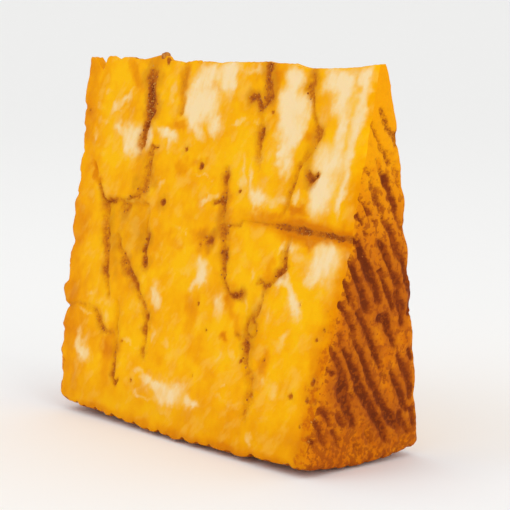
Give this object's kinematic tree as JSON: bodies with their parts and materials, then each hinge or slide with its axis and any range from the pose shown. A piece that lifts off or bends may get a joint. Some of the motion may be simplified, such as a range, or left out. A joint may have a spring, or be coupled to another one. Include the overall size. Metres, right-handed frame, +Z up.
{
  "type": "cheese wedge",
  "caption": "Thin wedge of spicy cured sheep cheese, standing tip up on its side rind, with chilli-filled cracks and a woven rind pattern.",
  "frame": {"origin": "middle of the outline at the ground, on the small flat spot of the side rind", "axes": "+X along the wheel's axis, from one flat rind face to the other; +Y from the shown cut face to the rear one; +Z up, from the side rind to the tip"},
  "size_m": [0.11, 0.0366, 0.0924],
  "materials": {
    "cheese": "oily satin: amber paste with pale cream patches, brown cracks and a dark orange-brown grooved rind"
  },
  "bodies": {
    "root": {"cheese_wedge": "cheese"}
  },
  "joints": []
}
